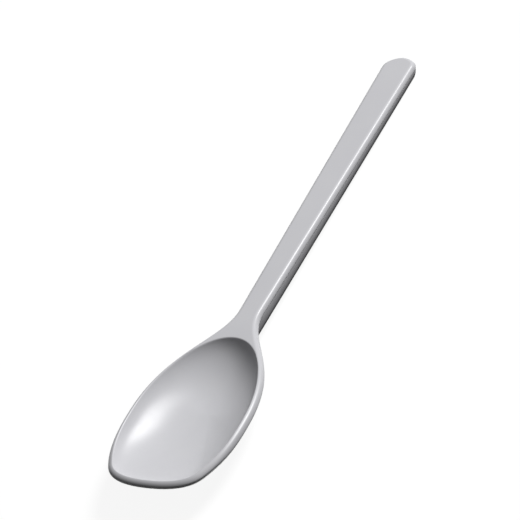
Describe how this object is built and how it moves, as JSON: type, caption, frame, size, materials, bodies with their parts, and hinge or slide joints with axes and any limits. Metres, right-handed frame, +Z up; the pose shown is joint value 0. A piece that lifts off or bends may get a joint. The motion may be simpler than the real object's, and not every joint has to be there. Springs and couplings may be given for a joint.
{
  "type": "mixing spoon",
  "caption": "Mixing spoon with a squared oval bowl, a flat rim running into a slim handle that widens to a rounded end, and a trough closing the handle's back.",
  "frame": {"origin": "on the table, under the middle of the spoon's length and width, as it lies on its bowl and handle end", "axes": "+X from the bowl to the handle end, +Z up from the table, bowl open upwards"},
  "size_m": [0.2948, 0.0616, 0.0178],
  "materials": {
    "grey_plastic": "satin, as moulded"
  },
  "bodies": {
    "root": {"spoon_body": "grey_plastic", "handle_back": "grey_plastic"}
  },
  "joints": []
}
